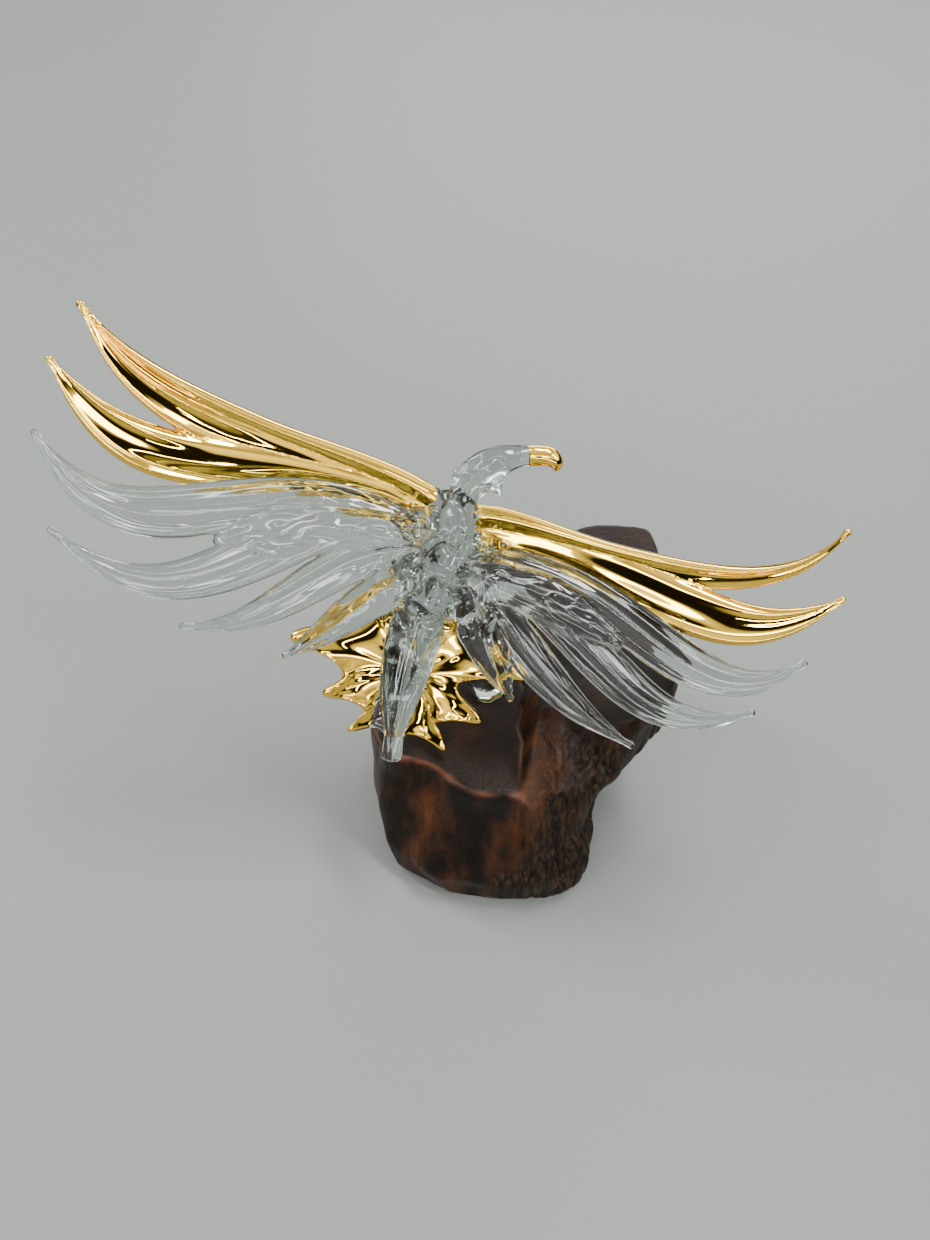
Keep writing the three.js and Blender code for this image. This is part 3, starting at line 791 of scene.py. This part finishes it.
# The wood: outlines in shares of half the width and depth, at shares of the height
OUTLINES = {
    "foot": [
        (-0.97, -0.34), (-0.86, -0.7), (-0.6, -0.9), (-0.3, -0.985), (0.1, -0.985), (0.45, -0.78),
        (0.5, -0.3), (0.55, 0.3), (0.4, 0.75), (0, 0.85), (-0.45, 0.72), (-0.8, 0.4), (-0.96, 0),
    ],
    "waist": [
        (-0.97, -0.36), (-0.9, -0.62), (-0.62, -0.8), (-0.3, -0.9), (0, -0.9), (0.35, -0.78),
        (0.42, -0.3), (0.5, 0.3), (0.36, 0.72), (0, 0.8), (-0.42, 0.68), (-0.78, 0.4), (-0.95, 0),
    ],
    "top": [
        (-0.97, -0.38), (-0.88, -0.54), (-0.58, -0.64), (-0.32, -0.81), (0.02, -0.81), (0.3, -0.6),
        (0.36, -0.2), (0.4, 0.3), (0.3, 0.66), (0, 0.72), (-0.4, 0.62), (-0.76, 0.36), (-0.94, 0),
    ],
    "crag_foot": [
        (0.02, -0.92), (0.28, -0.97), (0.43, -0.86), (0.42, -0.66), (0.58, -0.34), (0.8, 0.12),
        (0.86, 0.6), (0.66, 0.88), (0.28, 0.95), (0.06, 0.72), (0, 0.1),
    ],
    "crag_waist": [
        (0, -0.9), (0.26, -0.88), (0.4, -0.74), (0.46, -0.58), (0.68, -0.3), (0.88, 0.15),
        (0.96, 0.62), (0.74, 0.93), (0.32, 0.98), (0.1, 0.76), (0, 0.1),
    ],
    "crag_shoulder": [
        (-0.02, -0.82), (0.24, -0.8), (0.46, -0.76), (0.68, -0.58), (0.93, -0.28), (1, 0.2),
        (1, 0.68), (0.85, 0.97), (0.42, 1), (0.14, 0.78), (0.02, 0),
    ],
    "crag_top": [
        (0.04, -0.5), (0.24, -0.46), (0.5, -0.6), (0.7, -0.56), (0.95, -0.3), (1, 0.2),
        (1, 0.74), (0.93, 0.96), (0.5, 0.99), (0.2, 0.76), (0.06, -0.04),
    ],
}

# Each lobe from the ground up: share of its height, how far in from the outline in mm, and outline
BLOCK_LEVELS = [
    (0, 1.5, "foot"), (0.05, 0, "foot"), (0.25, -1, "foot"), (0.5, 0, "waist"), (0.8, 0, "top"),
    (0.95, 0.4, "top"), (1, EDGE_ROUND, "top"),
]
CRAG_LEVELS = [
    (0, 1.5, "crag_foot"), (0.05, 0, "crag_foot"), (0.2, -1, "crag_foot"), (0.42, 0, "crag_waist"),
    (0.72, 0, "crag_shoulder"), (0.94, 0, "crag_top"), (1, EDGE_ROUND, "crag_top"),
]


def wood_block(name, levels, height):
    """One lobe of the wood, from the ground to its top."""
    knots = np.array([rise for rise, _, _ in levels])
    drawn = []
    for rise, inset, outline in levels:
        corners = np.array(OUTLINES[outline], float) * (BASE_WIDTH / 2, BASE_DEPTH / 2)
        curve, inward = closed_curve(corners, WOOD_SIDES, WOOD_TENSION)
        drawn.append(np.column_stack([curve + inward * inset, np.full(WOOD_SIDES, rise * height)]))
    drawn = np.array(drawn)
    rings = []
    for rise in np.linspace(0, 1, WOOD_LEVELS):
        upper = min(np.searchsorted(knots, rise, side="right"), len(knots) - 1)
        lower = upper - 1
        mix = (rise - knots[lower]) / (knots[upper] - knots[lower])
        rings.append(drawn[lower] * (1 - mix) + drawn[upper] * mix)
    return loft(name, rings, [WOOD_FINISH])


def wood_base():
    """The driftwood: two lobes grown together, with fissured bark and worn edges that carry a painted
    highlight.
    """
    block = wood_block("wood", BLOCK_LEVELS, PLATEAU_HEIGHT)
    crag = wood_block("crag", CRAG_LEVELS, PLATEAU_HEIGHT + CRAG_RISE)
    whole = combine(block, [crag], "UNION")
    remesh = whole.modifiers.new("remesh", "REMESH")
    remesh.mode = "VOXEL"
    remesh.voxel_size = WOOD_VOXEL * MM
    graph = bpy.context.evaluated_depsgraph_get()
    mesh = bpy.data.meshes.new_from_object(whole.evaluated_get(graph))
    whole.modifiers.clear()
    whole.data = mesh
    whole.name = "driftwood_base"
    carve_wood(whole)
    whole.data.polygons.foreach_set("use_smooth", [True] * len(whole.data.polygons))
    return whole


def bark_share(x, y, z, upright):
    """How far a place is bark: the crag's front and right sides, not its polished top."""
    edge = 0.03 * BASE_WIDTH * math.sin(z / 13) + (0.1 * BASE_WIDTH if z < 22 else 0)
    beyond = clamped((x + edge) / 5)
    low = clamped((PLATEAU_HEIGHT + CRAG_RISE - 5 - z) / 5)
    return beyond * low * upright


def carve_wood(made):
    """Knife facets on the left, deep upright fissures in the bark, and worn edges with a painted highlight
    along the tops.
    """
    mesh = made.data
    shell = bmesh.new()
    shell.from_mesh(mesh)
    for _ in range(3):
        soften(shell, shell.verts)
    shell.normal_update()
    moves = []
    bark_marks = []
    wear_and_highlight_marks = []
    level_marks = []
    for vertex in shell.verts:
        x, y, z = vertex.co / MM
        upright = 1 - clamped((abs(vertex.normal.z) - 0.6) / 0.3)
        bark = bark_share(x, y, z, upright)
        bend = noise.noise(Vector((x, y, z)) / 30)
        turn = math.atan2(y + 10, x + 15) + 0.25 * bend + 0.15 * math.sin(z / 24)
        facet = abs((turn / FACET_ANGLE) % 1 - 0.5) * 2
        lump = LUMP_RELIEF * noise.noise(Vector((x, y, z)) / 19)
        grain = 0.12 * noise.noise(Vector((x / 2, y / 2, z / 26)))
        warp = 2 * noise.noise(Vector((x / 11, y / 11, z / 21)))
        fissure = abs(noise.noise(Vector(((x + warp) / 6, (y + warp) / 6 + 7, z / 80))))
        crack = -FISSURE_DEPTH * max(0, 1 - fissure * 7)
        plates = PLATE_RELIEF * noise.noise(Vector(((x + warp) / 7, (y + warp) / 7, z / 70 + 3)))
        push = upright * (lump + grain + (1 - bark) * FACET_RELIEF * (facet - 0.5)) + bark * (crack + plates)
        if z < 3:
            push *= max(0, z / 3)
        moves.append(vertex.normal * (push * MM))
        bark_marks.append(bark)
        level_marks.append(0.8 * clamped((vertex.normal.z - 0.8) / 0.15))
        # Mask of the plateau's rounded top edge, in broken chips: worn wood, and a painted highlight where
        # the edge turns towards the light
        near_top = hump(z, PLATEAU_HEIGHT - 2, 3.5) * (1 - bark)
        chips = 0.7 + 1.5 * noise.noise(Vector((x, y, z)) / 7)
        wear_and_highlight_marks.append(clamped(near_top * hump(vertex.normal.z, 0.6, 0.2) * chips))
    for vertex, move in zip(shell.verts, moves):
        vertex.co += move
        vertex.co.z = max(0, vertex.co.z)
    shell.to_mesh(mesh)
    shell.free()
    for name, marks in (("bark", bark_marks), ("wear_and_highlight", wear_and_highlight_marks), ("level", level_marks)):
        mask = mesh.attributes.new(name, "FLOAT", "POINT")
        mask.data.foreach_set("value", marks)


def pale_floor():
    """A plain pale floor for the object to stand on."""
    material, tree = new_material("pale_floor")
    shader = add_node(tree, "ShaderNodeBsdfPrincipled", {"Base Color": linear("#747774"), "Roughness": 0.6})
    finish_material(tree, shader)
    reach = 12
    corners = [(-reach, -reach, 0), (reach, -reach, 0), (reach, reach, 0), (-reach, reach, 0)]
    mesh = bpy.data.meshes.new("floor")
    mesh.from_pydata(corners, [], [(0, 1, 2, 3)])
    floor = bpy.data.objects.new("floor", mesh)
    bpy.context.scene.collection.objects.link(floor)
    mesh.materials.append(material)


# Lamps in metres and watts: place, width and height, power. The gold mirrors each of them as a bright band.
LIT_PLACE = (0, 0, 0.12)
LAMPS = [
    ("overhead", (0.3, 0.15, 1.3), (0.5, 0.16), 15),
    ("tall left", (-1.1, 0.7, 0.9), (0.12, 1.0), 15),
    ("tall right", (0.9, -0.5, 1.1), (0.08, 0.8), 9),
    ("far strip", (0.3, 1.3, 0.5), (1.2, 0.1), 10),
    ("near softbox", (-0.25, -1.15, 0.86), (0.8, 0.2), 9),
    ("near low strip", (0.15, -1.3, 0.34), (0.9, 0.035), 3.5),
    ("near left strip", (-0.9, -0.8, 0.5), (0.06, 0.6), 4),
]


def soft_light(name, place, size, power):
    """A large soft lamp that shines at the figure."""
    lamp = bpy.data.lights.new(name, "AREA")
    lamp.shape = "RECTANGLE"
    lamp.size, lamp.size_y = size
    lamp.energy = power
    made = bpy.data.objects.new(name, lamp)
    made.location = place
    made.rotation_euler = (Vector(LIT_PLACE) - Vector(place)).to_track_quat("-Z", "Y").to_euler()
    bpy.context.scene.collection.objects.link(made)


def light_room():
    """A bright soft room with a dark band low down all round, which the gold mirrors in its hollows."""
    world = bpy.data.worlds.new("room")
    world.use_nodes = True
    tree = world.node_tree
    tree.nodes.clear()
    way = add_node(tree, "ShaderNodeTexCoord")
    parts = add_node(tree, "ShaderNodeSeparateXYZ", links={"Vector": way.outputs["Generated"]})
    height = add_node(tree, "ShaderNodeMapRange", {"From Min": -1.0, "From Max": 1.0}, {
        "Value": parts.outputs["Z"],
    })
    tone = add_node(tree, "ShaderNodeValToRGB", links={"Fac": height.outputs["Result"]})
    ramp(tone, [
        (0.5, "#2c2e30"), (0.56, "#101112"), (0.68, "#131415"), (0.72, "#d5d8d8"), (0.82, "#ffffff"),
        (0.9, "#8a8d8e"), (1, "#d9dcdc"),
    ])
    background = add_node(tree, "ShaderNodeBackground", {"Strength": 2.0}, {"Color": tone.outputs["Color"]})
    add_node(tree, "ShaderNodeOutputWorld", links={"Surface": background.outputs[0]})
    bpy.context.scene.world = world
    for lamp in LAMPS:
        soft_light(*lamp)


def phone_camera():
    """The photograph's view: a phone's wide lens, held above the bird and behind it."""
    focal_pixels = 975
    frame_height = 1240
    camera = bpy.data.cameras.new("camera")
    camera.sensor_fit = "VERTICAL"
    camera.sensor_height = 24
    camera.lens = camera.sensor_height * focal_pixels / frame_height
    camera.clip_start = 0.01
    pitch_down = 50
    made = bpy.data.objects.new("camera", camera)
    made.location = (-21 * MM, -222 * MM, 360 * MM)
    made.rotation_euler = Euler((math.radians(90 - pitch_down), 0, 0))
    bpy.context.scene.collection.objects.link(made)
    bpy.context.scene.camera = made


phone_camera()
pale_floor()
light_room()

eagle = glass_eagle()
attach(eagle, "root")
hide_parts("glass_eagle")

base = wood_base()
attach(base, "root")
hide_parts("wood_base")
